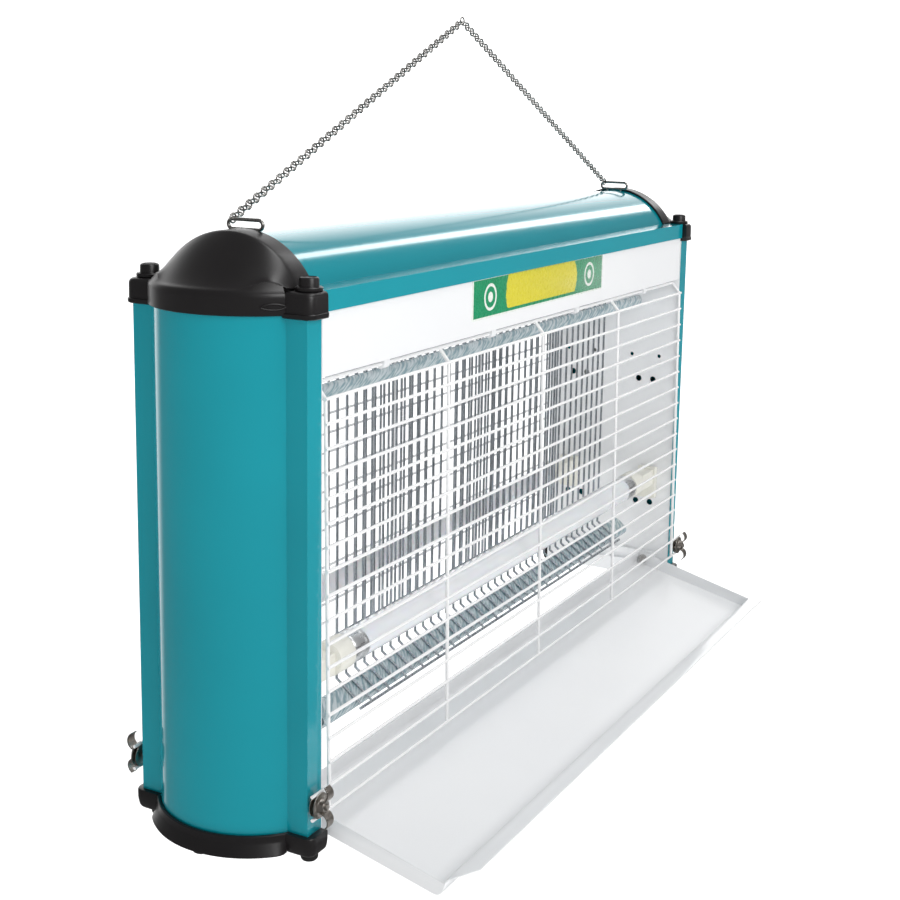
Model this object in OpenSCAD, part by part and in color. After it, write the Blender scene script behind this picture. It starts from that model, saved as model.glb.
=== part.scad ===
// Double-sided hanging electric bug zapper: two painted end columns, an arched top cover,
// wire grilles front and rear, a two-plane high-voltage grid, two UV tubes and a catch tray.
// The origin is the top of the hanging chain. +Z is up, the tray comes out towards -Y.

/* [Housing] */
// Distance between the outer side faces of the corner posts
post_span = 770; // [700:10:900]
// Depth over the front and rear faces of the corner posts
housing_depth = 156; // [150:1:170]
// Height of the painted columns
column_h = 391; // [380:1:420]
// How far the bowed end face stands out past the posts
bow_bulge = 30; // [24:1:34]
// Wall of the column extrusions
column_wall = 1.5; // [1:0.1:2]
// Width of a corner post
post_w = 18; // [16:0.5:19]
// Depth of a corner post
post_d = 18; // [16:0.5:19]
// Thickness of the white sheet panels
sheet_t = 1.2; // [0.8:0.1:1.5]
// Underside of the white header panels, over the base
header_low = 345.5; // [340:0.5:350]

/* [Top] */
// Height of the crown of the end caps over the base
crown_z = 446.5; // [440:0.5:450]
// Radius of the arch of the end caps
arch_r = 69; // [66:1:71]
// Height of the flat ledge beside the arch
ledge_z = 408; // [407.5:0.5:409]
// Wall of the plastic end caps
cap_wall = 2; // [1.5:0.1:3]

/* [Grille] */
// Pitch of the horizontal grille wires
grille_pitch = 18.3; // [17:0.1:18.5]
// Number of horizontal grille wires under the bend
grille_rows = 18; // [16:1:18]
// Diameter of the upright grille wires
grille_wire = 3.2; // [2.8:0.1:3.4]
// Diameter of the horizontal grille wires
grille_thin_wire = 2.6; // [2:0.1:2.8]

/* [High-voltage grid] */
// Distance between the two planes of rods
grid_gap = 55; // [52:0.5:58]
// Pitch of the rods in one plane
rod_pitch = 14.15; // [13.5:0.05:14.5]
// Number of rods in one plane
rod_count = 39; // [35:2:39]
// Diameter of a rod
rod_d = 2.3; // [1.8:0.1:2.4]

/* [Lamps] */
// Length of a tube over its end caps
lamp_l = 590; // [580:1:600]
// Diameter of the glass
lamp_d = 26; // [24:0.5:27]
// Distance of the lamp axis from the middle plane
lamp_y = 50; // [48:1:51]
// Height of the lamp axis over the base
lamp_z = 113; // [108:1:125]

/* [Tray] */
// Depth of the catch tray
tray_depth = 140; // [120:1:140]
// Height of the tray walls
tray_h = 14; // [12:0.5:14.5]
// Width of the turned-out front lip
tray_lip = 20; // [12:1:22]
// How far the tray stands pulled out
tray_out = 99; // [60:0.5:100]
// Tilt of the pulled-out tray, front down
tray_tilt = 13.5; // [8:0.5:13.5]

/* [Hanging] */
// Height of the top link over the base
hang_h = 617; // [600:1:640]
// Distance of the top link behind the middle plane
hang_back = 12; // [0:1:12]
// Inner diameter of a chain link
link_bore = 5.6; // [5:0.1:6]
// Wire diameter of a chain link
link_wire = 1.4; // [1.2:0.1:1.5]

/* [Hidden] */
$fn = 48;
eps = 0.01;
running = 0.05;            // radial clearance of pins that turn
loose = 0.3;               // radial clearance of bolts and rods

teal = [0.10, 0.60, 0.66];
black = [0.13, 0.12, 0.13];
white = [0.94, 0.95, 0.96];
steel = [0.70, 0.71, 0.72];
cream = [0.95, 0.93, 0.85];
glassy = [0.72, 0.82, 0.85];

// Columns, seen from above. The bow is one arc between the two corner posts.
post_x = post_span / 2;                       // outer side face of the posts
post_y = housing_depth / 2;                   // front face of the posts
bow_half = post_y - post_d;                   // where the arc meets the post
bow_r = (bow_half * bow_half + bow_bulge * bow_bulge) / (2 * bow_bulge);
bow_x = post_x + bow_bulge - bow_r;           // centre of the arc
inner_x = post_x - post_w;                    // inner face of the columns
panel_x = inner_x - 0.2 - sheet_t;            // visible face of the inner panels
rod_x = inner_x + 6;                          // tie rods inside the posts
rod_y = post_y - 6.5;
tie_r = 3;

// End caps
rim_low = column_h;
rim_top = rim_low + 15;
ear_low = column_h - 2;
ear_top = column_h + 17;
ear_in = inner_x - 0.5;
ear_out = post_x + 4;
ear_y = post_y + 6;
strip_in = inner_x - 15;                      // edge of the cap over the cover
strip_out = inner_x + 5;
arch_z = crown_z - arch_r;
base_t = 12;
foot_r = 7;
pad_at = [-post_x - bow_bulge + 5, 0, -17];   // moulded pad under the bow of a base cap
foot_z = -21;

// Cover
cover_gap = 0.5;
cover_r = arch_r - cap_wall - cover_gap;
band_low = 392.5;
header_y = post_y - 0.8;                      // outer face of the header panels

// Grille: a hinge wire under the header, a bend, then a nearly upright plane
hinge_y = 70;
hinge_z = 341;
bend_y = post_y + 1;
bend_z = 330;
foot_wire_y = post_y + 5;
foot_wire_z = bend_z - (grille_rows - 1) * grille_pitch;
grille_half = 363.6;
tip_x = post_x + 3;
clamp_x = inner_x + 12.6;
clamp_z = foot_wire_z + grille_pitch / 2;
clip_x = [270, 90];

// Grid
rod_y0 = grid_gap / 2;
upper_bend_z = 324.6;
lower_bend_z = 76;
tooth = [8, 1];                               // rearward and up
hem = [-25.5, -19];                           // forward and down
tie_r1 = 1.3;
rail_top_z = 317;
top_rail = [11, 13];
low_rail = [22, 12];
low_rail_half = 312;
hem_turn = atan2(hem[1], hem[0]) + 180;
low_rail_at = [-rod_y0, lower_bend_z] + hem / 2
    + [sin(hem_turn), -cos(hem_turn)] * (low_rail[1] / 2 + rod_d / 2 + 0.05);

// Lamps
cap_l = 20;
pin_r = 1.2;
pin_l = 7;
pin_offset = 6.35;
holder_x = lamp_l / 2 + 0.6;
holder_t = 22;

// Tray: pins near its rear corners run in the slots of the runners
tray_half = panel_x - 5;
tray_front = post_y + 6;                      // front wall when pushed in
lip_rise = 27;                                // slope of the lip over the tray floor
pin_y = tray_depth - tray_front - 7;          // pin when pushed in
pin_z = tray_h / 2;
tray_rise = 4;                                // the slot rises towards the front
guide_r = 3;
slot_from = [pin_y, pin_z];
slot_to = [pin_y - tray_out, pin_z + tray_rise];

// Chain: rings from each bail up to the top link
bail_x = strip_in - 1.8;
bail_z = crown_z + 6.2;
bail_r = 1.4;
bail_half = 15.5;
stem_y = 8;
bail_corner = (bail_z - crown_z + cap_wall + cover_gap - bail_r - 0.1) / 2;
ring_r = (link_bore + link_wire) / 2;
first_ring = link_bore / 2 - bail_r - 0.3;
leg = [bail_x, hang_h - bail_z - ring_r];     // from the bail to the middle of the top link
ring_count = 2 * ceil((norm(leg) - first_ring) / (link_bore - 0.12) / 2);
ring_step = (norm(leg) - first_ring) / ring_count;

// Everything but the chain is drawn over the base and then hung from the origin
module hung() {
    translate([0, -hang_back, -hang_h]) children();
}

module side(s) {
    if (s < 0) children();
    else mirror([1, 0, 0]) children();
}

module rear_side(s) {
    if (s < 0) children();
    else mirror([0, 1, 0]) children();
}

module rod_x_axis(r, l, at = [0, 0, 0]) {
    translate(at) rotate([0, 90, 0]) cylinder(r = r, h = l, center = true);
}

module rod_between(a, b, r) {
    d = b - a;
    translate(a)
        rotate([0, acos(d[2] / norm(d)), atan2(d[1], d[0])])
            cylinder(r = r, h = norm(d), $fn = 16);
}

module block(x, y, z) {
    translate([min(x), min(y), min(z)])
        cube([max(x) - min(x), max(y) - min(y), max(z) - min(z)]);
}

// Outline of the left column grown by g: two posts, the bow and the web between them
module column_plan(g) {
    intersection() {
        translate([-bow_x, 0]) circle(r = bow_r + g, $fn = 96);
        translate([-post_x - bow_bulge - g - 1, -bow_half - g])
            square([bow_bulge + post_w + 1, 2 * (bow_half + g)]);
    }
    translate([-post_x + 1, -bow_half - g])
        square([post_w - 1 + g, 2 * (bow_half + g)]);
    for (s = [-1, 1])
        translate([-inner_x - post_w / 2, s * (post_y - post_d / 2)])
            square([post_w + 2 * g, post_d + 2 * g], center = true);
}

module bow_plan(g) {
    intersection() {
        translate([-bow_x, 0]) circle(r = bow_r + g, $fn = 64);
        translate([-post_x - bow_bulge - g - 1, -bow_half - g])
            square([bow_bulge + post_w + 1, 2 * (bow_half + g)]);
    }
}

// Holes for the lampholders and starters, the same in panel and column wall
module panel_holes() {
    hole_y = [[23.5, 254, 2.2], [57, 254, 2.2], [33, 226, 3.6], [50.5, 226, 3.6],
        [35, 79, 3.6], [52.5, 79, 3.6]];
    for (s = [-1, 1])
        for (h = hole_y)
            rod_x_axis(h[2], 12, [-inner_x, s * h[0], h[1]]);
}

module column(s) {
    color(teal) hung() side(s) difference() {
        linear_extrude(column_h) column_plan(0);
        translate([0, 0, -eps]) linear_extrude(column_h + 2 * eps) column_plan(-column_wall);
        panel_holes();
        for (f = [-1, 1])
            translate([-clamp_x, f * post_y, clamp_z])
                rotate([90, 0, 0]) cylinder(r = 3.2, h = 6, center = true);
    }
}

module arch_plan(r) {
    intersection() {
        translate([0, arch_z]) circle(r = r, $fn = 96);
        translate([-100, ledge_z + 0.4]) square([200, 100]);
    }
}

// Upright plate with the arch outline between two x positions
module arch_slab(r, x_low, x_high) {
    translate([x_low, 0, 0]) rotate([90, 0, 90])
        linear_extrude(x_high - x_low) arch_plan(r);
}

module ear_blocks(z_low, z_high, grow) {
    for (f = [-1, 1])
        block([-ear_in, -ear_out - grow], [f * (bow_half - 1), f * (ear_y + grow)],
            [z_low, z_high]);
}

module tie_bores(z_low, z_high, r) {
    for (f = [-1, 1])
        translate([-rod_x, f * rod_y, z_low]) cylinder(r = r, h = z_high - z_low);
}

module top_cap(s) {
    color(black) hung() side(s) difference() {
        union() {
            translate([0, 0, rim_low]) linear_extrude(rim_top - rim_low) column_plan(3);
            hull() {
                translate([0, 0, rim_top - 1]) linear_extrude(1) bow_plan(3);
                arch_slab(arch_r, -strip_out, -strip_out + 1, $fn = 32);
            }
            arch_slab(arch_r, -strip_out, -strip_in);
            ear_blocks(ear_low, ear_top, 0);
        }
        hull() {
            translate([0, 0, rim_low - 3]) linear_extrude(rim_top - rim_low) bow_plan(3 - cap_wall);
            arch_slab(arch_r - cap_wall, -strip_out + 1, -strip_out + 2, $fn = 32);
        }
        arch_slab(arch_r - cap_wall, -strip_out, -strip_in + 1);
        translate([0, 0, ear_low - 1]) linear_extrude(rim_low + 0.2 - ear_low + 1)
            column_plan(0.2);
        block([-inner_x + 1, -post_x], [-bow_half + 3, bow_half - 3], [rim_low - 1, rim_top - 2]);
        block([-ear_in + 0.6, 0], [-ear_y - 1, ear_y + 1], [ear_low - 1, ledge_z + 0.4]);
        tie_bores(ear_low - 1, ear_top + 1, tie_r + loose);
    }
}

module base_cap(s) {
    color(black) hung() side(s) difference() {
        union() {
            translate([0, 0, -base_t + 5]) linear_extrude(base_t - 5 + 3) column_plan(3);
            hull() {
                translate([0, 0, -base_t]) linear_extrude(1) bow_plan(8);
                translate([0, 0, -2]) linear_extrude(1) bow_plan(3);
            }
            ear_blocks(-base_t - 1, 3, 0);
            translate(pad_at) cylinder(r = 8, h = -base_t - pad_at[2] + 2);
        }
        linear_extrude(4) column_plan(0.2);
        translate([0, 0, -base_t - 1]) linear_extrude(base_t - 2) bow_plan(-3);
        block([-inner_x, 0], [-ear_y - 1, ear_y + 1], [-base_t - 2, 4]);
        tie_bores(-base_t - 3, 1, tie_r + loose);
    }
}

module rubber_feet() {
    color(black) hung()
        for (s = [-1, 1]) side(s) difference() {
            for (f = [-1, 1]) translate([-rod_x, f * rod_y, 0]) {
                translate([0, 0, foot_z + 2]) cylinder(r = foot_r, h = -base_t - 2.1 - foot_z - 2);
                translate([0, 0, foot_z]) cylinder(r1 = foot_r - 1.2, r2 = foot_r, h = 2);
            }
            tie_bores(foot_z + 3, 0, tie_r + loose);
        }
}

module tie_rods() {
    color(steel) hung()
        for (s = [-1, 1])
            for (f = [-1, 1])
                translate([s * rod_x, f * rod_y, foot_z + 3.5])
                    cylinder(r = tie_r, h = ear_top + 7 - foot_z - 3.5);
}

module cap_knobs() {
    color(black) hung()
        for (s = [-1, 1]) side(s) difference() {
            for (f = [-1, 1]) translate([-rod_x, f * rod_y, ear_top + 0.1]) {
                cylinder(r = 10, h = 3);
                cylinder(r = 7.2, h = 10);
            }
            tie_bores(ear_top - 1, ear_top + 7.5, tie_r + running);
        }
}

module inner_panel(s) {
    color(white) hung() side(s) difference() {
        block([-panel_x, -panel_x - sheet_t], [-post_y + 0.4, post_y - 0.4], [-base_t, ear_low - 0.2]);
        panel_holes();
        for (y = [-1, 1]) rod_x_axis(1.6, 12, [-panel_x, y * rod_y0, rail_top_z]);
    }
}

// Cover: an arch, two narrow ledges and two upright bands
module top_cover() {
    ledge_in = sqrt(pow(cover_r, 2) - pow(ledge_z - arch_z, 2));
    color(teal) hung() {
        difference() {
            translate([-strip_out + 2, 0, 0]) rotate([90, 0, 90]) linear_extrude(2 * strip_out - 4)
                difference() {
                    translate([0, arch_z]) circle(r = cover_r, $fn = 128);
                    translate([0, arch_z]) circle(r = cover_r - sheet_t, $fn = 128);
                    translate([-100, ledge_z - sheet_t - 100]) square([200, 100]);
                }
            for (s = [-1, 1]) for (f = [-1, 1])
                translate([s * bail_x, f * stem_y, arch_z]) cylinder(r = bail_r + running, h = 80);
        }
        for (f = [-1, 1]) {
            block([-inner_x + 2, inner_x - 2], [f * (ledge_in - 1.5), f * (post_y + 1)],
                [ledge_z - sheet_t, ledge_z]);
            block([-inner_x + 2, inner_x - 2], [f * (post_y + 1 - sheet_t), f * (post_y + 1)],
                [band_low, ledge_z]);
        }
    }
}

module header_panel(f) {
    color(white) hung() rear_side(f) difference() {
        union() {
            block([-panel_x + 1, panel_x - 1], [-header_y, -header_y + sheet_t],
                [header_low, ledge_z - sheet_t - 0.3]);
            block([-panel_x + 1, panel_x - 1], [-header_y, -header_y + 8],
                [header_low, header_low + sheet_t]);
        }
        for (x = [-3, -1, 1, 3])
            translate([x * 110, -header_y, band_low + 8]) rotate([90, 0, 0])
                cylinder(r = 2 + loose, h = 6, center = true);
        if (f > 0)
            translate([-300, -header_y, header_low + 24]) rotate([90, 0, 0])
                cylinder(r = 6 + loose, h = 6, center = true);
    }
}

module front_label() {
    color([0.05, 0.48, 0.36]) hung()
        block([-139.5, 139.5], [-header_y - 0.35, -header_y - 0.05], [357.7, 392.6]);
}

module chassis_plate() {
    color(white) hung() difference() {
        block([-panel_x + 1, panel_x - 1], [-header_y + 9, header_y - 9],
            [header_low + 1.5, header_low + 1.5 + sheet_t]);
        for (f = [-1, 1])
            translate([200, f * 30, header_low]) cylinder(r = 5, h = 5);
    }
}

module grille_hanger_clips() {
    color(white) hung()
        for (s = [-1, 1]) for (f = [-1, 1]) for (x = clip_x) difference() {
            union() {
                rod_x_axis(3.6, 8, [s * x, f * hinge_y, hinge_z]);
                block([s * x - 4, s * x + 4], [f * (hinge_y - 3.6), f * (hinge_y + 3.6)],
                    [hinge_z, header_low - 0.05]);
            }
            rod_x_axis(grille_wire / 2 + running, 10, [s * x, f * hinge_y, hinge_z]);
        }
}

// The horizontal wires are welded to the front of the upright ones
function thin_y(z) = foot_wire_y + grille_wire / 2 - 0.5
    + (bend_y - foot_wire_y) * (z - foot_wire_z) / (bend_z - foot_wire_z);

module grille(f) {
    up_r = grille_wire / 2;
    thin_r = grille_thin_wire / 2;
    color(white) hung() rear_side(f) {
        rod_x_axis(up_r, 2 * grille_half + 3, [0, -hinge_y, hinge_z]);
        for (i = [-2 : 2]) {
            x = i * grille_half / 2;
            rod_between([x, -hinge_y, hinge_z], [x, -bend_y, bend_z], up_r - 0.05);
            translate([x, -bend_y, bend_z]) sphere(r = up_r + 0.02, $fn = 24);
            rod_between([x, -bend_y, bend_z], [x, -foot_wire_y, foot_wire_z - 1], up_r - 0.05);
        }
        for (k = [0 : grille_rows - 1]) {
            z = foot_wire_z + k * grille_pitch;
            reach = k < 2 ? tip_x : grille_half + 2;
            rod_x_axis(thin_r, 2 * reach, [0, -thin_y(z), z]);
        }
    }
}

// Captive wing screw: a washer each side of the wires, a shank, a hub and two curled wings
module wing_screw(s, f) {
    gap = grille_thin_wire / 2 + 0.3;             // the wires lean a little over its width
    mid = thin_y(clamp_z);
    hub_y = mid + gap + 1.2;
    wing_r = 6;
    color(steel) hung() rear_side(f) translate([s * clamp_x, 0, clamp_z]) rotate([90, 0, 0]) {
        translate([0, 0, post_y - 7]) cylinder(r = 2.5, h = hub_y - post_y + 7.5);
        translate([0, 0, mid - gap - 0.8]) cylinder(r = 9.4, h = 0.8);
        translate([0, 0, mid + gap]) cylinder(r = 9.8, h = 1.2);
        translate([0, 0, hub_y]) cylinder(r1 = 5.5, r2 = 4.4, h = 4);
        translate([0, 0, hub_y + 3.9]) cylinder(r = 2.4, h = 1.6);
        for (w = [0, 180]) rotate([0, 0, w]) translate([-4.5, 4.6 + wing_r, hub_y + 1.2])
            rotate([90, 0, 90]) rotate_extrude(angle = 150, start = 30)
                translate([wing_r, 0]) square([1.1, 9]);
    }
}

// Every second rod of a plane: a short tooth at the top, an upright run, a sloping hem
module rod_set(f, odd, top_end, low_end) {
    r = rod_d / 2;
    knee = [-rod_y0, upper_bend_z];
    low = [-rod_y0, lower_bend_z];
    top = knee + tooth * (1 - top_end / norm(tooth));
    foot = low + hem * (1 - low_end / norm(hem));
    hung() rear_side(f) for (i = [odd : 2 : rod_count - 1]) {
        x = (i - (rod_count - 1) / 2) * rod_pitch;
        rod_between([x, top[0], top[1]], [x, knee[0], knee[1]], r - 0.05);
        translate([x, knee[0], knee[1]]) sphere(r = r + 0.02, $fn = 16);
        rod_between([x, knee[0], knee[1]], [x, low[0], low[1]], r - 0.05);
        translate([x, low[0], low[1]]) sphere(r = r + 0.02, $fn = 16);
        rod_between([x, low[0], low[1]], [x, foot[0], foot[1]], r - 0.05);
    }
}

module tie_wire(f, y, z) {
    hung() rear_side(f) rod_x_axis(tie_r1, (rod_count - 1) * rod_pitch + 8, [0, y, z]);
}

// Live rods hang from the upper tie, earth rods stand on the lower one
module live_rods(f) {
    color(steel) {
        rod_set(f, 0, 0, 3);
        tie_wire(f, -rod_y0 + tooth[0], upper_bend_z + tooth[1]);
    }
}

module earth_rods(f) {
    color(steel) {
        rod_set(f, 1, 3, 0);
        tie_wire(f, -rod_y0 + hem[0], lower_bend_z + hem[1]);
    }
}

module oval(w, h) {
    l = abs(w - h) / 2;
    along = w > h ? [1, 0] : [0, 1];
    for (s = [-1, 1]) translate(s * l * along) circle(d = min(w, h));
    square([w > h ? w - h : w, w > h ? h : h - w], center = true);
}

// Oval tube along X, drilled for the rods when they run through it
module oval_tube(half, size, at, turn, drilled) {
    difference() {
        translate([-half, at[0], at[1]]) rotate([90, 0, 90]) rotate(turn)
            linear_extrude(2 * half) difference() {
                oval(size[0], size[1]);
                oval(size[0] - 4, size[1] - 4);
            }
        if (drilled)
            for (i = [0 : rod_count - 1])
                translate([(i - (rod_count - 1) / 2) * rod_pitch, at[0], at[1] - size[1]])
                    cylinder(r = rod_d / 2 + running, h = 2 * size[1], $fn = 16);
    }
}

module top_grid_rails() {
    color(glassy) hung() for (f = [-1, 1]) rear_side(f)
        oval_tube(panel_x - 0.1, top_rail, [-rod_y0, rail_top_z], 0, true);
}

module bottom_grid_rails() {
    color(glassy) hung() for (f = [-1, 1]) rear_side(f)
        oval_tube(low_rail_half, low_rail, low_rail_at, hem_turn, false);
}

module lamp_glass(f) {
    color([0.93, 0.95, 1.0]) hung()
        rotate_tube(f) difference() {
            rod_x_axis(lamp_d / 2, lamp_l - 2 * cap_l + 8);
            rod_x_axis(lamp_d / 2 - 0.8, lamp_l - 2 * cap_l + 6);
        }
}

module rotate_tube(f) {
    translate([0, f * lamp_y, lamp_z]) children();
}

module lamp_caps(f) {
    color(steel) hung() rotate_tube(f)
        for (s = [-1, 1]) difference() {
            rod_x_axis(lamp_d / 2 + 0.35, cap_l, [s * (lamp_l - cap_l) / 2, 0, 0]);
            rod_x_axis(lamp_d / 2 + 0.05, cap_l, [s * ((lamp_l - cap_l) / 2 - 1.2), 0, 0]);
        }
}

module lamp_pins(f) {
    color([0.85, 0.70, 0.35]) hung() rotate_tube(f)
        for (s = [-1, 1]) for (p = [-1, 1])
            rod_x_axis(pin_r, pin_l, [s * (lamp_l + pin_l) / 2, 0, p * pin_offset]);
}

// Lampholder: a round head with a pocket for the two pins, an arm and a base on the panel
module lampholder(s, f) {
    head_x = -holder_x - holder_t / 2;
    color(cream) hung() side(s) translate([0, f * lamp_y, lamp_z]) difference() {
        union() {
            rod_x_axis(14, holder_t, [head_x, 0, 0]);
            block([-panel_x + 5, head_x], [-8, 8], [-11, 7]);
            block([-panel_x + 0.1, -panel_x + 7], [-11, 11], [-27, 10]);
        }
        rod_x_axis(pin_offset + pin_r + 0.6, pin_l + 1, [-holder_x - pin_l / 2, 0, 0]);
    }
}

module starter(f) {
    color([0.92, 0.92, 0.9]) hung() translate([-250, f * 45, header_low + 6]) {
        cylinder(r = 10.5, h = 36);
        for (s = [-1, 1]) translate([s * 6.3, 0, -2.8]) cylinder(r = 2, h = 2.9);
    }
}

module starter_sockets() {
    color(cream) hung() for (f = [-1, 1]) translate([-250, f * 45, header_low + 1.6 + sheet_t])
        difference() {
            cylinder(r = 15, h = 9);
            translate([0, 0, 3]) cylinder(r = 10.5 + running, h = 10);
            cylinder(r = 9, h = 8, center = true);
        }
}

module ballast(s) {
    color([0.75, 0.76, 0.74]) hung() side(s) {
        block([-inner_x - 3, -inner_x - 31], [-4, 38], [120, 270]);
        block([-inner_x - 3, -inner_x - 4.5], [-4, 38], [105, 285]);
    }
}

module hv_transformer() {
    color([0.55, 0.50, 0.42]) hung() {
        z = header_low + 1.6 + sheet_t;
        block([70, 150], [-25, 25], [z, z + 20]);
        block([84, 136], [-32, 32], [z + 20.1, z + 44]);
        block([70, 150], [-25, 25], [z + 44.1, z + 60]);
    }
}

module hv_capacitor() {
    color([0.80, 0.55, 0.25]) hung()
        rod_x_axis(14, 60, [0, 0, header_low + 1.7 + sheet_t + 14]);
}

module terminal_block() {
    color(cream) hung() translate([230, 20, header_low + 1.6 + sheet_t]) difference() {
        block([-30, 30], [-9, 9], [0, 16]);
        for (x = [-24 : 12 : 24]) translate([x, 0, 6]) cylinder(r = 2.2, h = 12);
    }
}

module cable_gland() {
    color(black) hung() translate([-300, header_y, header_low + 24]) rotate([-90, 0, 0])
        difference() {
            union() {
                translate([0, 0, -14]) cylinder(r = 6, h = 16);
                translate([0, 0, 0.1]) cylinder(r = 10, h = 5);
                translate([0, 0, 5]) cylinder(r1 = 8, r2 = 6.5, h = 8, $fn = 48);
                translate([0, 0, -8]) cylinder(r = 9, h = 6);
            }
            translate([0, 0, -15]) cylinder(r = 4, h = 30);
        }
}

module header_screws() {
    color(steel) hung() for (f = [-1, 1]) rear_side(f) for (x = [-3, -1, 1, 3])
        translate([x * 110, -header_y + sheet_t, band_low + 8]) rotate([-90, 0, 0]) {
            translate([0, 0, 0.1]) cylinder(r = 4, h = 2.2);
            translate([0, 0, -sheet_t - 0.6]) cylinder(r = 2, h = 3);
        }
}

module tray_shell() {
    t = sheet_t;
    w = tray_half;
    y0 = -tray_front;
    y1 = tray_depth - tray_front;
    difference() {
        block([-w, w], [y0, y1], [0, tray_h]);
        block([-w + t, w - t], [y0 + t, y1 - t], [t, tray_h + 1]);
        for (s = [-1, 1]) {
            rod_x_axis(guide_r + running, 6, [s * w, pin_y, pin_z]);
            rod_x_axis(2, 6, [s * w, y0 + 9, tray_h - 5]);
        }
    }
    translate([0, y0, tray_h - t]) rotate([-lip_rise, 0, 0]) linear_extrude(t)
        polygon([[-w, 0.5], [-w + 24, -tray_lip], [w - 24, -tray_lip], [w, 0.5]]);
}

// From pushed in and level to pulled out and tilted about the guide pins
module pulled_out() {
    translate([0, slot_to[0], slot_to[1]])
        rotate([tray_tilt, 0, 0])
            translate([0, -slot_from[0], -slot_from[1]]) children();
}

module tray() {
    color(white) hung() pulled_out() tray_shell();
}

module tray_guide_pins() {
    color(steel) hung() for (s = [-1, 1]) {
        rod_x_axis(guide_r, 6.4, [s * (tray_half + 1.2), slot_to[0], slot_to[1]]);
        rod_x_axis(5, 2, [s * (tray_half - sheet_t - 1.4), slot_to[0], slot_to[1]]);
    }
}

module tray_runners() {
    r = guide_r + loose;
    slope = atan2(slot_to[1] - slot_from[1], slot_to[0] - slot_from[0]);
    span = norm(slot_to - slot_from);
    color(white) hung() for (s = [-1, 1]) side(s) difference() {
        block([-panel_x + 0.1, -panel_x + 3.4], [-post_y + 16, post_y - 10], [0, 20]);
        translate([-panel_x, slot_from[0], slot_from[1]]) rotate([slope, 0, 0]) {
            rod_x_axis(r, 12);
            rod_x_axis(r, 12, [0, span, 0]);
            translate([-6, 0, -r]) cube([12, span, 2 * r]);
        }
    }
}

// Bail: a closed wire loop standing on the cover, with two threaded stems and nuts under it
module bail(s) {
    low = crown_z - cap_wall - cover_gap + bail_r + 0.1;
    mid = (bail_z + low) / 2;
    color(steel) hung() side(s) translate([-bail_x, 0, 0]) {
        for (z = [low, bail_z]) rotate([90, 0, 0]) translate([0, z, 0])
            cylinder(r = bail_r, h = 2 * (bail_half - bail_corner), center = true);
        for (f = [-1, 1]) translate([0, f * (bail_half - bail_corner), mid])
            rotate([90, 0, f * 90]) rotate_extrude(angle = 180, start = -90)
                translate([bail_corner, 0]) circle(r = bail_r, $fn = 24);
        for (f = [-1, 1]) translate([0, f * stem_y, low - 16]) cylinder(r = bail_r, h = 16);
    }
}

module bail_nuts() {
    color(steel) hung() for (s = [-1, 1]) side(s) for (f = [-1, 1])
        translate([-bail_x, f * stem_y, crown_z - 11]) difference() {
            cylinder(r = 4, h = 4, $fn = 6);
            translate([0, 0, -1]) cylinder(r = bail_r + running, h = 6);
        }
}

// Ring i of a leg, counted from the bail; every second ring is turned a quarter
module ring(i) {
    turn = i % 2 == 0 ? 90 : 0;
    translate([first_ring + i * ring_step, 0, 0]) rotate([turn, 0, 0])
        rotate_extrude() translate([ring_r, 0]) circle(d = link_wire, $fn = 20);
}

module chain_leg(s) {
    slope = atan2(leg[1], leg[0]);
    color(steel) side(s) translate([-bail_x, 0, bail_z - hang_h]) rotate([0, -slope, 0])
            for (i = [0 : ring_count - 1]) ring(i);
}

module top_link() {
    color(steel) translate([0, 0, -ring_r]) rotate([90, 0, 0])
        rotate_extrude() translate([ring_r, 0]) circle(d = link_wire, $fn = 20);
}

column(-1);  // left_column
column(1);  // right_column
top_cap(-1);  // left_top_cap
top_cap(1);  // right_top_cap
base_cap(-1);  // left_base_cap
base_cap(1);  // right_base_cap
rubber_feet();
tie_rods();
cap_knobs();
inner_panel(-1);  // left_inner_panel
inner_panel(1);  // right_inner_panel
top_cover();
header_panel(-1);  // front_header_panel
header_panel(1);  // rear_header_panel
front_label();
chassis_plate();
tray_runners();
tray();
tray_guide_pins();
grille(-1);  // front_grille
grille(1);  // rear_grille
grille_hanger_clips();
wing_screw(-1, -1);  // front_left_wing_screw
wing_screw(1, -1);  // front_right_wing_screw
wing_screw(-1, 1);  // rear_left_wing_screw
wing_screw(1, 1);  // rear_right_wing_screw
live_rods(-1);  // front_live_rods
earth_rods(-1);  // front_earth_rods
live_rods(1);  // rear_live_rods
earth_rods(1);  // rear_earth_rods
top_grid_rails();
bottom_grid_rails();
lamp_glass(-1);  // front_lamp_glass
lamp_glass(1);  // rear_lamp_glass
lamp_caps(-1);  // front_lamp_caps
lamp_caps(1);  // rear_lamp_caps
lamp_pins(-1);  // front_lamp_pins
lamp_pins(1);  // rear_lamp_pins
lampholder(-1, -1);  // front_left_lampholder
lampholder(1, -1);  // front_right_lampholder
lampholder(-1, 1);  // rear_left_lampholder
lampholder(1, 1);  // rear_right_lampholder
starter(-1);  // front_starter
starter(1);  // rear_starter
starter_sockets();
ballast(-1);  // left_ballast
ballast(1);  // right_ballast
hv_transformer();
hv_capacitor();
terminal_block();
cable_gland();
header_screws();
bail(-1);  // left_bail
bail(1);  // right_bail
bail_nuts();
chain_leg(-1);  // left_chain
chain_leg(1);  // right_chain
top_link();
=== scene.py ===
import math

import bmesh
import bpy
from mathutils import Matrix, Vector


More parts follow.
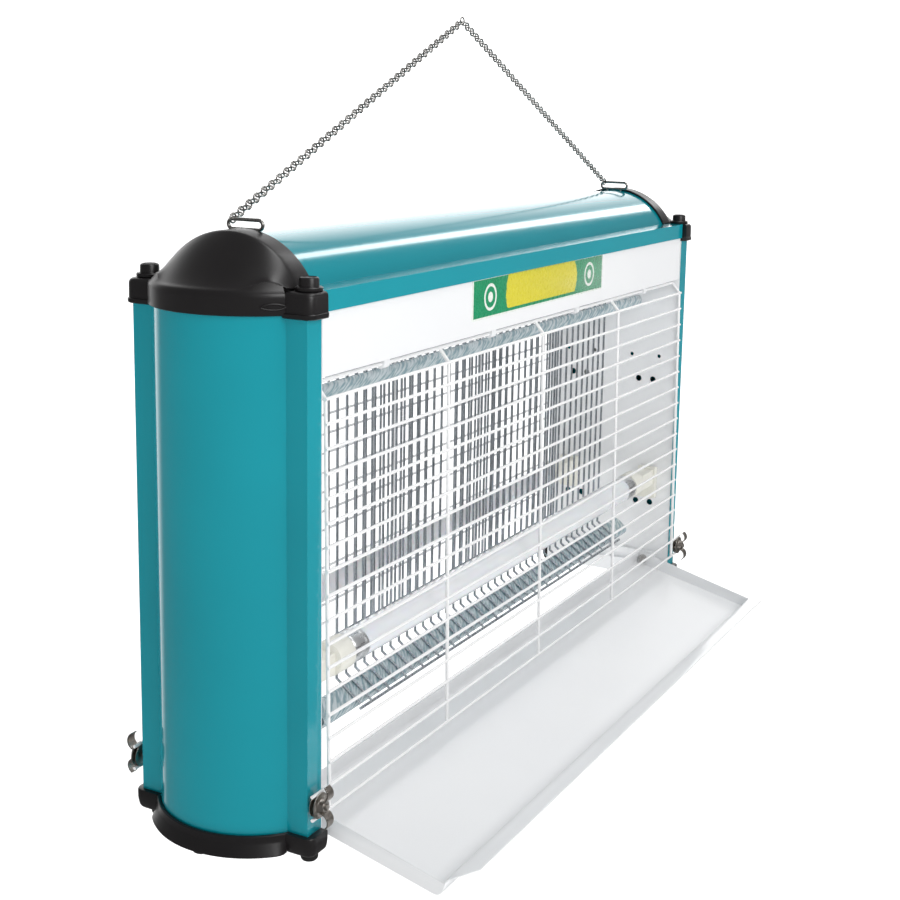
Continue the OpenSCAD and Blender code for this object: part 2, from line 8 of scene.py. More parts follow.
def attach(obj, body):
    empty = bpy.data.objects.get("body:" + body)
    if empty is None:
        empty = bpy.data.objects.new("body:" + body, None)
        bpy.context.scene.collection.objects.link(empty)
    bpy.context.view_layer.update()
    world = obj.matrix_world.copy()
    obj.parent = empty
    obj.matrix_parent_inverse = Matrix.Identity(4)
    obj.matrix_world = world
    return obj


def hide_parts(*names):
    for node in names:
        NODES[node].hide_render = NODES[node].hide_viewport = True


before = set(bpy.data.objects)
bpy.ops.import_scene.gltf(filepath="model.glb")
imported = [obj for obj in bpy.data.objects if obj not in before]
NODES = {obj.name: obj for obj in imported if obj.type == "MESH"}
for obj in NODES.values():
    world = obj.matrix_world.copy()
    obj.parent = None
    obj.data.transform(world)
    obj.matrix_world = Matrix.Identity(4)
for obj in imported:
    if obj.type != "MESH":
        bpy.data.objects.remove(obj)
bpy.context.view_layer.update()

MM = 0.001
ENDS = ((-1, "left"), (1, "right"))
FACES = ((-1, "front"), (1, "rear"))

# Sizes shared with the drawing, in millimetres over the base
ORIGIN_Y, ORIGIN_Z = 12.0, 617.0               # the model's origin, at the top of the chain
BOW_X, BOW_R = 340.0, 78.0                     # centre and radius of a column's bowed face
BOW_ANGLE = math.asin(61.5 / BOW_R)            # from the bow's middle to where it meets a post
CORNER_X, CORNER_Y = 373.0, 71.5               # line of the tie rod, knob and foot at a corner
EAR_X, EAR_Y, EAR_ROOT_Y = 389.0, 84.0, 58.5   # outer faces of a cap's ears, and their inner end
WING_X, WING_Z, WIRE_Y = 379.6, 28.05, 84.0    # axis of a wing screw, and the grille's wires
LAMP_Y, LAMP_Z = 50.0, 113.0                   # axis of a lamp
PIN_Y, PIN_Z = 49.0, 7.0                       # the tray's guide pins with the tray pushed in
PULLED_Y, PULLED_Z = -50.0, 11.0               # and with it pulled out, as at rest
TRAY_TILT = math.radians(13.5)                 # how far the pulled-out tray tips forward


# Camera: the photograph's viewing angle, on the object's left front
def look_from(eye, yaw, pitch, roll, lens, shift):
    yaw, pitch, roll = (math.radians(a) for a in (yaw, pitch, roll))
    ahead = Vector((math.sin(yaw) * math.cos(pitch),
                    math.cos(yaw) * math.cos(pitch),
                    math.sin(pitch)))
    level = Vector((math.cos(yaw), -math.sin(yaw), 0))
    above = level.cross(ahead)
    right = math.cos(roll) * level + math.sin(roll) * above
    up = math.cos(roll) * above - math.sin(roll) * level
    data = bpy.data.cameras.new("camera")
    data.lens = lens
    data.sensor_width = 36
    data.shift_y = shift
    data.clip_start = 0.01
    cam = bpy.data.objects.new("camera", data)
    cam.matrix_world = Matrix.Translation(eye) @ Matrix((right, up, -ahead)).transposed().to_4x4()
    bpy.context.collection.objects.link(cam)
    bpy.context.scene.camera = cam


look_from((-1.2181, -0.6584, -0.0780), yaw=61.354, pitch=-10.05, roll=0.95, lens=58.56,
          shift=-0.0972)


# Shader nodes
def feed(tree, node, inputs):
    """Sets each input of a node to a value, or links a socket to it."""
    for key, value in inputs.items():
        if isinstance(value, bpy.types.NodeSocket):
            tree.links.new(value, node.inputs[key])
        else:
            node.inputs[key].default_value = value


def shader_node(tree, kind, inputs, operation=None):
    node = tree.nodes.new("ShaderNode" + kind)
    if operation:
        node.operation = operation
    feed(tree, node, inputs)
    return node


def object_place(tree):
    return tree.nodes.new("ShaderNodeTexCoord").outputs["Object"]


def moved(tree, place, field, value):
    return shader_node(tree, "Mapping", {"Vector": place, field: value}).outputs["Vector"]


def noise(tree, scale, detail, rough=0.55, stretch=None):
    place = object_place(tree)
    if stretch:
        place = moved(tree, place, "Scale", stretch)
    return shader_node(tree, "TexNoise", {"Scale": scale, "Detail": detail, "Roughness": rough,
                                          "Vector": place}).outputs["Fac"]


def ramp(tree, factor, low, high, start=0.3, end=0.7):
    """A colour that runs from low to high over the factor's range start to end."""
    node = shader_node(tree, "ValToRGB", {"Fac": factor})
    first, last = node.color_ramp.elements
    first.position, first.color = start, (*low, 1)
    last.position, last.color = end, (*high, 1)
    return node.outputs["Color"]


def map_range(tree, factor, source, target):
    return shader_node(tree, "MapRange", {
        "From Min": source[0], "From Max": source[1],
        "To Min": target[0], "To Max": target[1], "Value": factor})


def spread(tree, factor, low, high):
    """A noise's usual range, taken to the range low to high."""
    return map_range(tree, factor, (0.3, 0.7), (low, high)).outputs["Result"]


def bump(tree, height, strength, distance):
    return shader_node(tree, "Bump", {"Strength": strength, "Distance": distance,
                                      "Height": height}).outputs["Normal"]


def calculate(tree, operation, a, b=None):
    inputs = {0: a} if b is None else {0: a, 1: b}
    return shader_node(tree, "Math", inputs, operation).outputs[0]


def paint_over(tree, mask, colour, paint):
    node = tree.nodes.new("ShaderNodeMix")
    node.data_type = "RGBA"
    feed(tree, node, {"Factor": mask, "A": colour, "B": (*paint, 1)})
    return node.outputs["Result"]


# Materials
def new_material(name):
    material = bpy.data.materials.new(name)
    material.use_nodes = True
    tree = material.node_tree
    return material, tree, tree.nodes["Principled BSDF"]


def coated(name, low, high, rough, coat=0.0, grain=900, orange=0.15, blotch=6, metallic=0.0):
    """A paint or plastic: slow colour drift, fine orange peel, roughness that varies a little."""
    material, t, shader = new_material(name)
    feed(t, shader, {
        "Base Color": ramp(t, noise(t, blotch, 3), low, high),
        "Roughness": spread(t, noise(t, blotch * 7, 5), rough * 0.985, rough * 1.02),
        "Metallic": metallic,
        "Coat Weight": coat,
        "Coat Roughness": 0.08,
        "Normal": bump(t, noise(t, grain, 2), orange, 0.0002)})
    return material


def wire_metal(name, low, high, rough, stretch=None, grain=700, strength=0.25):
    """Drawn or rolled metal with fine streaks and a little tarnish."""
    material, t, shader = new_material(name)
    streak = noise(t, grain, 3, 0.6, stretch)
    feed(t, shader, {
        "Base Color": ramp(t, noise(t, 40, 5), low, high),
        "Roughness": spread(t, streak, rough * 0.7, rough * 1.4),
        "Metallic": 1.0,
        "Normal": bump(t, streak, strength, 0.0001)})
    return material


def tube_plastic():
    """The insulating tubes' plastic, with slanting blue-grey streaks."""
    material, t, shader = new_material("pale_blue_tube_plastic")
    fine = noise(t, 260, 4, 0.6)
    slanted = moved(t, object_place(t), "Rotation", (0.0, math.radians(-62), 0.0))
    streaks = shader_node(t, "TexNoise", {
        "Scale": 1.0, "Detail": 2.0, "Vector": moved(t, slanted, "Scale", (560, 40, 80))})
    feed(t, shader, {
        "Base Color": ramp(t, streaks.outputs["Fac"], (0.34, 0.49, 0.54), (0.78, 0.87, 0.90),
                           0.40, 0.60),
        "Roughness": spread(t, fine, 0.12, 0.25),
        "Transmission Weight": 0.25,
        "Coat Weight": 0.5,
        "Normal": bump(t, fine, 0.2, 0.0004)})
    return material


def coated_glass():
    """Lamp glass, white with the phosphor behind it."""
    material, t, shader = new_material("phosphor_coated_glass")
    fine = noise(t, 500, 3)
    feed(t, shader, {
        "Base Color": ramp(t, noise(t, 9, 3), (0.86, 0.88, 0.92), (0.93, 0.94, 0.96)),
        "Roughness": spread(t, fine, 0.10, 0.16),
        "Coat Weight": 0.8,
        "Coat Roughness": 0.03,
        "Subsurface Weight": 0.15,
        "Normal": bump(t, fine, 0.05, 0.0002)})
    return material


TEAL = coated("teal_powder_coat", (0.0008, 0.285, 0.350), (0.0012, 0.318, 0.388), 0.14,
              coat=0.5, grain=240, orange=0.03, blotch=5)
BLACK = coated("black_moulded_plastic", (0.0075, 0.0065, 0.0072), (0.0120, 0.0105, 0.0112), 0.34,
               grain=700, orange=0.10, blotch=14)
RUBBER = coated("black_rubber", (0.008, 0.008, 0.008), (0.015, 0.014, 0.014), 0.6,
                orange=0.3, blotch=20)
WHITE = coated("white_powder_coat", (0.875, 0.885, 0.90), (0.895, 0.905, 0.915), 0.28,
               coat=0.35, grain=240, orange=0.01, blotch=7)
WIRE_WHITE = coated("white_dipped_wire", (0.90, 0.90, 0.91), (0.94, 0.94, 0.94), 0.25,
                    coat=0.4, grain=400, orange=0.10, blotch=30)
CREAM = coated("cream_moulded_plastic", (0.83, 0.82, 0.74), (0.88, 0.87, 0.80), 0.40,
               grain=600, orange=0.08, blotch=25)
PALE = coated("white_moulded_plastic", (0.80, 0.80, 0.77), (0.86, 0.86, 0.83), 0.42,
              grain=600, orange=0.08, blotch=25)
GREY = coated("grey_enamel", (0.42, 0.43, 0.42), (0.52, 0.53, 0.51), 0.35,
              coat=0.2, grain=500, orange=0.2, blotch=12)
CORE = coated("varnished_laminations", (0.10, 0.07, 0.05), (0.17, 0.13, 0.09), 0.5,
              coat=0.2, grain=300, orange=0.6, blotch=20, metallic=0.4)
FILM = coated("capacitor_film", (0.55, 0.24, 0.05), (0.66, 0.31, 0.08), 0.28,
              coat=0.3, grain=400, orange=0.1, blotch=20)
STEEL = wire_metal("plated_steel", (0.30, 0.29, 0.28), (0.52, 0.51, 0.49), 0.26)
DARK_STEEL = wire_metal("dull_plated_steel", (0.24, 0.21, 0.19), (0.50, 0.47, 0.43), 0.34,
                        grain=500, strength=0.4)
ROD = wire_metal("drawn_rod", (0.42, 0.46, 0.50), (0.60, 0.64, 0.68), 0.26, (1, 1, 0.05))
CAP_METAL = wire_metal("lamp_cap_metal", (0.70, 0.71, 0.72), (0.80, 0.81, 0.82), 0.30, (0.1, 1, 1))
BRASS = wire_metal("brass_pin", (0.60, 0.42, 0.16), (0.75, 0.55, 0.24), 0.25, (0.1, 1, 1))
TUBE = tube_plastic()
GLASS = coated_glass()

LOOKS = {
    TEAL: ["left_column", "right_column", "top_cover"],
    BLACK: ["left_top_cap", "right_top_cap", "left_base_cap", "right_base_cap", "cap_knobs",
            "cable_gland"],
    RUBBER: ["rubber_feet"],
    WHITE: ["left_inner_panel", "right_inner_panel", "front_header_panel", "rear_header_panel",
            "chassis_plate", "tray_runners", "tray", "grille_hanger_clips"],
    WIRE_WHITE: ["front_grille", "rear_grille"],
    CREAM: ["front_left_lampholder", "front_right_lampholder", "rear_left_lampholder",
            "rear_right_lampholder", "starter_sockets", "terminal_block"],
    PALE: ["front_starter", "rear_starter"],
    GREY: ["left_ballast", "right_ballast"],
    CORE: ["hv_transformer"],
    FILM: ["hv_capacitor"],
    STEEL: ["tie_rods", "tray_guide_pins", "header_screws", "left_bail", "right_bail",
            "bail_nuts", "left_chain", "right_chain", "top_link"],
    DARK_STEEL: ["front_left_wing_screw", "front_right_wing_screw", "rear_left_wing_screw",
                 "rear_right_wing_screw"],
    ROD: ["front_live_rods", "front_earth_rods", "rear_live_rods", "rear_earth_rods"],
    CAP_METAL: ["front_lamp_caps", "rear_lamp_caps"],
    BRASS: ["front_lamp_pins", "rear_lamp_pins"],
    TUBE: ["top_grid_rails", "bottom_grid_rails"],
    GLASS: ["front_lamp_glass", "rear_lamp_glass"],
}


def dress(obj, material):
    obj.data.materials.clear()
    obj.data.materials.append(material)


for look, names in LOOKS.items():
    for name in names:
        dress(NODES[name], look)


# Detailed pieces, in millimetres over the base, like the drawing
def at(x, y, z):
    """The place in the model's frame, in metres."""
    return Vector((x, y - ORIGIN_Y, z - ORIGIN_Z)) * MM


def arc(cx, cy, r, start, end, steps):
    """Points of an arc in a plane, angles in degrees."""
    angles = [math.radians(start + (end - start) * k / steps) for k in range(steps + 1)]
    return [(cx + r * math.cos(a), cy + r * math.sin(a)) for a in angles]


def bezier(points, t):
    """A point on a cubic curve."""
    a, b, c, d = points
    return a * (1 - t) ** 3 + b * 3 * t * (1 - t) ** 2 + c * 3 * t * t * (1 - t) + d * t ** 3


class Mesh:
    """Collects vertices and faces for one piece."""

    def __init__(self):
        self.v, self.f = [], []

    def grid(self, rows, closed=False):
        """Rows of points of equal length, joined into quads. Closed rows are rings."""
        base, wide = len(self.v), len(rows[0])
        for row in rows:
            self.v += row
        for i in range(len(rows) - 1):
            near, far = base + i * wide, base + (i + 1) * wide
            for j in range(wide if closed else wide - 1):
                k = (j + 1) % wide
                self.f.append((near + j, near + k, far + k, far + j))

    def face(self, ring):
        base = len(self.v)
        self.v += ring
        self.f.append(tuple(range(base, base + len(ring))))

    def loft(self, rings, ends=True):
        """Rings joined into a skin, with a face over each end."""
        self.grid(rings, True)
        if ends:
            self.face(rings[0])
            self.face(rings[-1])

    def lathe(self, profile, centre, axis, around=40, ends=True):
        """Turns (radius, along) pairs in mm about an axis through a centre in metres."""
        axis = Vector(axis).normalized()
        side = axis.orthogonal().normalized()
        other = axis.cross(side)
        turns = [2 * math.pi * k / around for k in range(around)]
        spokes = [side * math.cos(a) + other * math.sin(a) for a in turns]
        self.loft([[centre + axis * (s * MM) + spoke * (max(r, 1e-3) * MM) for spoke in spokes]
                   for r, s in profile], ends)

    def tube(self, path, radius, around):
        """A round wire of a radius in mm along a list of points in metres."""
        rings = []
        side = None
        for i, p in enumerate(path):
            along = (path[min(i + 1, len(path) - 1)] - path[max(i - 1, 0)]).normalized()
            if side is None:
                side = along.orthogonal().normalized()
            side = (side - along * side.dot(along)).normalized()
            other = along.cross(side)
            turns = [2 * math.pi * k / around for k in range(around)]
            rings.append([p + (side * math.cos(a) + other * math.sin(a)) * (radius * MM)
                          for a in turns])
        self.loft(rings)

    def brick(self, low, high):
        """A box between two corners in mm."""
        (x0, y0, z0), (x1, y1, z1) = low, high
        base = len(self.v)
        self.v += [at(x, y, z) for z in (z0, z1) for y in (y0, y1) for x in (x0, x1)]
        for quad in ((0, 2, 3, 1), (4, 5, 7, 6), (0, 1, 5, 4), (2, 6, 7, 3), (0, 4, 6, 2),
                     (1, 3, 7, 5)):
            self.f.append(tuple(base + k for k in quad))


def build(name, mesh, material, body, nodes=(), smooth=40):
    """Makes a piece of the collected mesh, rides it on a body and puts it in its nodes' place."""
    me = bpy.data.meshes.new(name)
    me.from_pydata([v[:] for v in mesh.v], [], mesh.f)
    bm = bmesh.new()
    bm.from_mesh(me)
    bmesh.ops.remove_doubles(bm, verts=bm.verts, dist=1e-6)
    bmesh.ops.recalc_face_normals(bm, faces=bm.faces)
    bm.to_mesh(me)
    bm.free()
    obj = bpy.data.objects.new(name, me)
    bpy.context.collection.objects.link(obj)
    for p in me.polygons:
        p.use_smooth = True
    me.set_sharp_from_angle(angle=math.radians(smooth))
    dress(obj, material)
    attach(obj, body)
    if nodes:
        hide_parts(*nodes)
    return obj


def thicken(obj, mm):
    sheet = obj.modifiers.new("sheet", "SOLIDIFY")
    sheet.thickness = mm * MM
    sheet.offset = 1.0
    sheet.use_even_offset = True


def round_edges(obj, mm, segments=3, angle=50):
    bevel = obj.modifiers.new("round", "BEVEL")
    bevel.width = mm * MM
    bevel.segments = segments
    bevel.limit_method = "ANGLE"
    bevel.angle_limit = math.radians(angle)


def ears(side, name, root_x, corner_r, steps, centre, stack):
    """A cap's two ears: an outline drawn in towards a centre, by an inset at each height."""
    half = 12.0   # the inset that would draw the outline in to a point
    outline = [(root_x, EAR_Y), (EAR_X - corner_r, EAR_Y)]
    outline += arc(EAR_X - corner_r, EAR_Y - corner_r, corner_r, 90, 0, steps)
    outline += [(EAR_X, EAR_ROOT_Y + 1), (root_x, EAR_ROOT_Y)]
    cx, cy = centre
    m = Mesh()
    for f in (-1, 1):
        rings = []
        for z, inset in stack:
            k = 1 - inset / half
            rings.append([at(side * (cx + (x - cx) * k), f * (cy + (y - cy) * k), z)
                          for x, y in outline])
        m.loft(rings)
    build(name + "_ears", m, BLACK, "housing")


# Black top caps: a rim round the bow, a dome that lofts up to the arch, and two ears
def end_cap(side, name, node):
    arch_r, arch_z = 69.0, 377.5
    arch_angle = math.acos((408.4 - arch_z) / arch_r)
    slices = 56
    rows = []
    for i in range(slices + 1):
        t = -1 + 2 * i / slices
        f, a = t * BOW_ANGLE, t * arch_angle

        def rim(r, z):
            return at(side * (BOW_X + r * math.cos(f)), r * math.sin(f), z)

        def top(x, r):
            return at(side * x, r * math.sin(a), arch_z + r * math.cos(a))

        # The crease where the dome meets the rim lifts into a shoulder beside each ear
        shoulder = math.exp(-((abs(t) - 0.82) / 0.17) ** 2)
        crease = rim(73.6 - 2.2 * shoulder, 409.4 + 5.2 * shoulder)
        crest = top(371.6, arch_r - 0.15)
        face = crest - crease
        reach = face.length
        low = crease + face * 0.30 - Vector((0, 0, 0.07 * reach))
        high = crest - face * 0.36 + Vector((0, 0, 0.015 * reach))
        near = crest - (crest - high).normalized() * min(0.0042, reach * 0.2)
        over = top(368.0, arch_r)
        row = [rim(76.0, 391.0), rim(77.3, 391.0), rim(BOW_R, 391.6), rim(BOW_R, 398.0),
               rim(BOW_R, 403.6), rim(77.7, 405.8), rim(76.8, 407.6), rim(75.4, 408.8)]
        row += [bezier((crease, low, high, near), k / 16) for k in range(17)]
        row += [bezier((near, crest, crest, over), k / 6) for k in range(1, 7)]
        row += [top(362.0, arch_r), top(357.0, arch_r), top(352.6, arch_r),
                top(352.0, arch_r - 0.5), top(352.0, arch_r - 1.9), top(360.0, arch_r - 1.9),
                top(369.5, arch_r - 2.6), rim(71.0, 402.0), rim(75.0, 400.0)]
        rows.append(row)
    m = Mesh()
    m.loft(rows)
    build(name, m, BLACK, "housing", [node], 32)
    ears(side, name, 366.5, 8, 9, (366.5, 71.25),
         [(389.0, 1.0), (389.5, 0.3), (390.4, 0.0), (392.6, 0.0), (393.2, 0.5), (404.8, 0.6),
          (406.6, 1.1), (407.6, 2.0), (408.0, 3.2)])
    # Raised lip round a small mouth-shaped vent in the rim
    vent_angle, vent_half = math.radians(-46), math.radians(6.6)
    vent_z, vent_rise = 397.4, 2.1
    path = []
    for k in range(25):
        w = 2 * math.pi * k / 24
        f = vent_angle + math.cos(w) * vent_half
        z = vent_z + math.sin(w) * vent_rise * abs(math.sin(w)) ** 0.4
        path.append(at(side * (BOW_X + BOW_R * math.cos(f)), BOW_R * math.sin(f), z))
    vent = Mesh()
    vent.tube(path, 0.75, 8)
    build(name + "_vent_lip", vent, BLACK, "housing", (), 60)


end_cap(-1, "left_dome", "left_top_cap")
end_cap(1, "right_dome", "right_top_cap")


# Base caps: a rim with a flared foot and a pad under the bow, two ears and a web between them
def base_cap(side, name, node):
    slices = 48
    rows = []
    for i in range(slices + 1):
        t = -1 + 2 * i / slices
        f = t * BOW_ANGLE
        flare = min(1.0, (1 - abs(t)) / 0.10) ** 0.5   # fades into the ears

        def rim(r, z):
            r = min(r, BOW_R) + max(0.0, r - BOW_R) * flare
            return at(side * (BOW_X + r * math.cos(f)), r * math.sin(f), z)

        rows.append([rim(75.3, 0.0), rim(75.3, 2.6), rim(75.7, 3.0), rim(77.4, 3.0),
                     rim(BOW_R, 2.4), rim(BOW_R, -2.0), rim(78.6, -3.2), rim(82.2, -10.4),
                     rim(82.6, -11.2), rim(82.2, -12.0), rim(72.0, -12.0), rim(72.0, -2.0)])
    m = Mesh()
    m.loft(rows)
    m.lathe([(9.5, -11.0), (8.6, -12.6), (8.1, -14.6), (7.4, -16.2), (6.2, -16.9), (0.0, -17.0)],
            at(side * 410, 0, 0), (0, 0, 1))
    build(name, m, BLACK, "housing", [node], 32)
    ears(side, name, 367.2, 7, 8, (CORNER_X, CORNER_Y),
         [(-13.0, 3.2), (-12.6, 2.2), (-11.6, 1.4), (-10.0, 0.8), (-7.0, 0.3), (-4.0, 0.0),
          (2.0, 0.0), (2.8, 0.4), (3.0, 1.0)])
    web = Mesh()
    web.brick((side * 367.2, -60, -12), (side * 386, 60, -2))
    round_edges(build(name + "_web", web, BLACK, "housing"), 0.8, angle=35)


base_cap(-1, "left_base", "left_base_cap")
base_cap(1, "right_base", "right_base_cap")


def at_corners(name, z, profile, material, node):
    """The same turned part at each corner, in one piece."""
    m = Mesh()
    for s in (-1, 1):
        for f in (-1, 1):
            m.lathe(profile, at(s * CORNER_X, f * CORNER_Y, z), (0, 0, 1))
    build(name, m, material, "housing", [node], 35)


at_corners("knobs", 408.1,
           [(9.2, 0), (10.0, 0.5), (10.0, 2.4), (9.4, 3.0), (7.5, 3.2), (7.3, 3.8), (7.2, 8.4),
            (6.6, 9.5), (5.6, 9.9), (5.2, 9.4), (3.6, 9.2), (0.0, 9.2)], BLACK, "cap_knobs")
at_corners("feet", -13.1,
           [(6.9, 0), (7.0, -0.3), (6.8, -3.0), (6.7, -5.6), (6.4, -6.8), (5.7, -7.7),
            (5.2, -7.9), (0.0, -7.6)], RUBBER, "rubber_feet")


# Catch tray, drawn pushed in, then tipped about its guide pins and pulled out
def tipped(x, y, z):
    y, z = y - PIN_Y, z - PIN_Z
    return at(x, y * math.cos(TRAY_TILT) - z * math.sin(TRAY_TILT) + PULLED_Y,
              y * math.sin(TRAY_TILT) + z * math.cos(TRAY_TILT) + PULLED_Z)


def catch_tray():
    half, height, sheet = 360.6, 14.0, 1.2
    front, rear = -84.0, 56.0
    rear_r, front_r = 2.4, 6
    lip = math.radians(27)
    profile = [(rear, height), (rear, rear_r)]
    for k in range(1, 7):
        a = math.radians(15 * k)
        profile.append((rear - rear_r + rear_r * math.cos(a), rear_r - rear_r * math.sin(a)))
    profile += [(front + 40, 0.0), (front + front_r, 0.0)]
    for k in range(1, 8):
        a = math.radians(12 * k)
        profile.append((front + front_r - front_r * math.sin(a), front_r - front_r * math.cos(a)))
    profile += [(front + 0.2, height - 2.6), (front - 0.2, height - 1.2),
                (front - 1.2, height - 0.2)]
    profile += [(front - s * math.cos(lip), height + s * math.sin(lip))
                for s in (2.2, 8.0, 14.0, 19.4)]
    m = Mesh()
    rows = []
    for y, z in profile:
        wide = half - max(0.0, (front - 1.5 - y)) * 24.0 / 20.0   # the lip's ends run in
        rows.append([tipped(-wide + 2 * wide * k / 24, y, z) for k in range(25)])
    m.grid(rows)
    for s in (-1, 1):
        m.face([tipped(s * half, y, z) for y, z in profile if y >= front - 0.1])
    tray = build("catch_tray", m, WHITE, "tray", ["tray"], 50)
    thicken(tray, sheet)
    round_edges(tray, 0.35, 2)


catch_tray()


# Captive wing screws: washers each side of the wires, a hub, and two curled wings
def wing_screw(side, f, name):
    m = Mesh()
    centre = at(side * WING_X, f * WIRE_Y, WING_Z)
    axis = (0, f, 0)
    m.lathe([(2.1, -15.0), (2.5, -14.2), (2.5, -1.8), (2.5, 3.0)], centre, axis, 24)
    m.lathe([(8.9, -2.15), (9.4, -1.9), (9.4, -1.5), (8.9, -1.4)], centre, axis)
    m.lathe([(2.6, 1.4), (9.2, 1.4), (9.8, 1.8), (9.8, 2.2), (9.2, 2.6), (5.6, 2.7), (5.5, 3.0),
             (4.6, 6.4), (4.0, 6.9), (2.6, 7.0), (2.5, 8.0), (1.9, 8.5), (0.0, 8.6)],
            centre, axis, ends=False)
    inner_r, outer_r = 6.0, 7.1                     # of a wing's curl
    curl_y, curl_z = WIRE_Y + 3.9, 4.6 + inner_r    # the curl's middle, curl_z off the screw's axis
    root_wide, taper = 4.5, 1.2                     # half width at the hub, and how it narrows
    for up in (-1, 1):
        rings = []
        for k in range(17):
            a = math.radians(180 + 150 * k / 16)
            wide = root_wide - taper * (k / 16) ** 2
            rings.append([at(side * WING_X + up * x, f * (curl_y - r * math.sin(a)),
                             WING_Z + up * (curl_z + r * math.cos(a)))
                          for r, x in ((inner_r, -wide), (inner_r, wide),
                                       (outer_r, wide), (outer_r, -wide))])
        m.loft(rings)
    round_edges(build(name, m, DARK_STEEL, name, [name], 35), 0.25, 2)


for f, face in FACES:
    for s, end in ENDS:
        wing_screw(s, f, face + "_" + end + "_wing_screw")


# Lamps: glass drawn in to the neck, stepped metal caps, two pins at each end
def lamp(f, face):
    middle = at(0, f * LAMP_Y, LAMP_Z)
    along = (1, 0, 0)
    body = face + "_lamp"
    end, r = 279.0, 13.0   # where the glass ends, from the middle, and its radius
    pin_z = 6.35           # from the lamp's axis to a pin's
    profile = [(12.2, -end), (12.9, -end + 2.5), (r, -end + 5)]
    profile += [(r, -end + 5 + (2 * end - 10) * k / 12) for k in range(1, 12)]
    profile += [(r, end - 5), (12.9, end - 2.5), (12.2, end)]
    glass, caps, pins = Mesh(), Mesh(), Mesh()
    glass.lathe(profile, middle, along, 56)
    build(face + "_tube_glass", glass, GLASS, body, [face + "_lamp_glass"], 35)
    for s in (-1, 1):
        caps.lathe([(r, s * 275), (13.3, s * 275.6), (13.35, s * 279), (12.9, s * 280),
                    (12.9, s * 281), (13.35, s * 282), (13.35, s * 292), (13.1, s * 293.6),
                    (12.0, s * 294.8), (0.0, s * 295)], middle, along, 56, False)
        for p in (-1, 1):
            pins.lathe([(1.2, s * 294.9), (1.2, s * 300.8), (0.9, s * 301.6), (0.0, s * 302)],
                       middle + Vector((0, 0, p * pin_z * MM)), along, 16)
    build(face + "_tube_caps", caps, CAP_METAL, body, [face + "_lamp_caps"], 35)
    build(face + "_tube_pins", pins, BRASS, body, [face + "_lamp_pins"], 35)


for f, face in FACES:
    lamp(f, face)


# Lampholders: a round head with a pocket for the pins, an arm and a base on the panel
def lampholder(side, f, name):
    m = Mesh()
    y = f * LAMP_Y
    m.lathe([(0.0, 303.0), (8.2, 303.0), (8.2, 297.2), (8.5, 296.4), (9.2, 296.1), (9.6, 296.1),
             (10.0, 295.8), (12.6, 295.7), (13.6, 296.0), (14.0, 296.9), (14.0, 316.3),
             (13.6, 317.2), (12.6, 317.5), (0.0, 317.5)], at(0, y, LAMP_Z), (side, 0, 0), 48, False)
    m.brick((side * 314, y - 8, 102), (side * 361, y + 8, 120))
    m.brick((side * 358.7, y - 11, 86), (side * 365.4, y + 11, 123))
    round_edges(build(name + "_shell", m, CREAM, "housing", [name], 35), 0.9)


for f, face in FACES:
    for s, end in ENDS:
        lampholder(s, f, face + "_" + end + "_lampholder")


# Label: a plain printed film with green ends and a yellow middle, no lettering
def label_film():
    material, t, shader = new_material("plain_green_yellow_film")
    # All lengths are in metres from the label's middle
    middle_z = -0.2415
    mark_x, ring_r, ring_half, dot_r = 0.106, 0.0105, 0.0013, 0.0045
    yellow_x, yellow_low = 0.0795, -0.0135
    border_x, border_z = 0.1372, 0.0162
    place = shader_node(t, "SeparateXYZ", {"Vector": object_place(t)})
    across = calculate(t, "ABSOLUTE", place.outputs["X"])
    above = calculate(t, "ADD", place.outputs["Z"], -middle_z)
    above_squared = calculate(t, "MULTIPLY", above, above)
    # Yellow field with rounded, ragged ends, over a green strip
    ragged = calculate(t, "MULTIPLY", noise(t, 90, 3), 0.006)
    rounded = calculate(t, "MULTIPLY", above_squared, 22.0)
    reach = calculate(t, "ADD", calculate(t, "ADD", across, ragged), rounded)
    yellow = calculate(t, "MULTIPLY", calculate(t, "LESS_THAN", reach, yellow_x),
                       calculate(t, "GREATER_THAN", above, yellow_low))
    # Pale border, and a ring with a dot at each end
    border = calculate(t, "MAXIMUM", calculate(t, "GREATER_THAN", across, border_x),
                       calculate(t, "GREATER_THAN", calculate(t, "ABSOLUTE", above), border_z))
    aside = calculate(t, "SUBTRACT", across, mark_x)
    aside_squared = calculate(t, "MULTIPLY", aside, aside)
    radius = calculate(t, "SQRT", calculate(t, "ADD", aside_squared, above_squared))
    off_ring = calculate(t, "ABSOLUTE", calculate(t, "SUBTRACT", radius, ring_r))
    mark = calculate(t, "MAXIMUM", calculate(t, "LESS_THAN", off_ring, ring_half),
                     calculate(t, "LESS_THAN", radius, dot_r))
    colour = ramp(t, noise(t, 60, 3), (0.004, 0.270, 0.110), (0.006, 0.310, 0.130))
    colour = paint_over(t, calculate(t, "MAXIMUM", border, mark), colour, (0.82, 0.86, 0.80))
    colour = paint_over(t, yellow, colour, (0.72, 0.64, 0.030))
    feed(t, shader, {
        "Base Color": colour,
        "Roughness": spread(t, noise(t, 200, 3), 0.22, 0.34),
        "Coat Weight": 0.4,
        "Normal": bump(t, noise(t, 500, 2), 0.08, 0.0001)})
    return material


def label():
    corner_r, middle = 2, 375.15
    wide, low, high = 139.5 - corner_r, 357.7 + corner_r, 392.6 - corner_r
    outline = []
    for x, z, start in ((wide, high, 0), (-wide, high, 90), (-wide, low, 180), (wide, low, 270)):
        outline += arc(x, z, corner_r, start, start + 90, 5)
    m = Mesh()
    m.loft([[at(x * k, y, middle + (z - middle) * k) for x, z in outline]
            for y, k in ((-77.26, 1.0), (-77.45, 1.0), (-77.58, 0.998))])
    build("front_label_film", m, label_film(), "housing", ["front_label"], 35)


label()


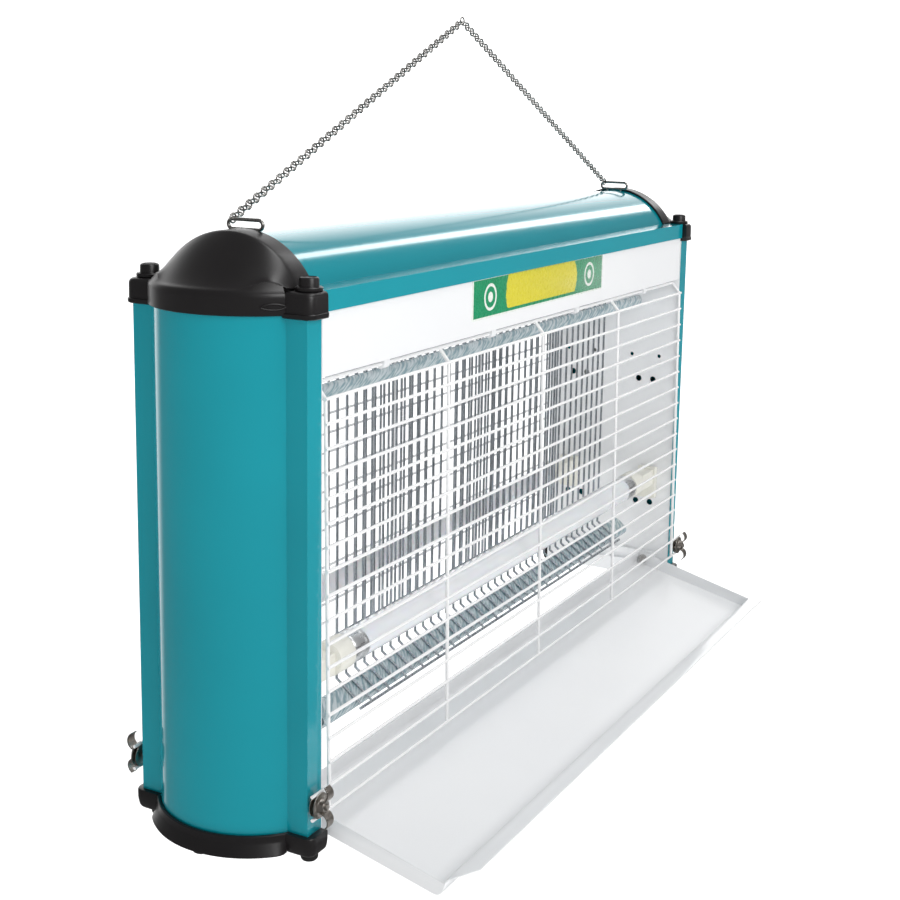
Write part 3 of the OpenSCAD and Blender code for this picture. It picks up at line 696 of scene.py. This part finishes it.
# Studio: pale floor, soft boxes and a pale world
def soft_box(name, place, target, size, power):
    data = bpy.data.lights.new(name, "AREA")
    data.shape = "RECTANGLE"
    data.size, data.size_y = size
    data.energy = power
    light = bpy.data.objects.new(name, data)
    light.location = place
    light.rotation_euler = (Vector(target) - Vector(place)).to_track_quat("-Z", "Y").to_euler()
    bpy.context.collection.objects.link(light)


def floor(z, half):
    """A pale floor that glows a little, more so away from the object."""
    bm = bmesh.new()
    bmesh.ops.create_grid(bm, x_segments=8, y_segments=8, size=half)
    me = bpy.data.meshes.new("floor")
    bm.to_mesh(me)
    bm.free()
    obj = bpy.data.objects.new("floor", me)
    obj.location = (0, 0, z)
    bpy.context.collection.objects.link(obj)
    pale = coated("pale_floor", (0.90, 0.90, 0.90), (0.93, 0.93, 0.93), 0.7,
                  grain=60, orange=0.0, blotch=1)
    t = pale.node_tree
    away = shader_node(t, "VectorMath", {0: object_place(t)}, "LENGTH").outputs["Value"]
    near, far = 0.8, 3.5
    glow = map_range(t, away, (near, far), (0.72, 1.05)).outputs["Result"]
    feed(t, t.nodes["Principled BSDF"], {"Emission Color": (1, 1, 1, 1), "Emission Strength": glow})
    dress(obj, pale)
    obj.visible_glossy = False


floor(-0.95, 12.0)
soft_box("key", (-1.3, -2.7, 1.4), (0, 0, -0.35), (1.6, 1.6), 45)
soft_box("front", (1.5, -2.6, 0.7), (0, 0, -0.4), (1.6, 1.6), 5)
soft_box("overhead", (0.3, -0.7, 2.3), (0, -0.1, -0.4), (2.0, 1.0), 26)
soft_box("streak", (3.3, -0.15, 1.7), (0, 0, -0.2), (0.35, 1.8), 12)


def studio_world():
    """Bright beyond the object and dim on the near side, so dark parts stay dark. The camera
    sees white in every direction."""
    world = bpy.data.worlds.new("studio")
    bpy.context.scene.world = world
    world.use_nodes = True
    t = world.node_tree
    direction = t.nodes.new("ShaderNodeTexCoord").outputs["Generated"]
    away = (0.79, 0.61, 0.0)   # level, towards the far side of the object
    dim, bright = 0.19, 2.0
    beyond = shader_node(t, "VectorMath", {0: direction, 1: away}, "DOT_PRODUCT")
    level = map_range(t, beyond.outputs["Value"], (0.64, 0.95), (dim, bright))
    level.interpolation_type = "SMOOTHSTEP"
    seen = t.nodes.new("ShaderNodeLightPath").outputs["Is Camera Ray"]
    strength = calculate(t, "MAXIMUM", level.outputs["Result"], seen)
    feed(t, t.nodes["Background"], {"Color": (1, 1, 1, 1), "Strength": strength})


studio_world()
bpy.context.scene.view_settings.view_transform = "Standard"
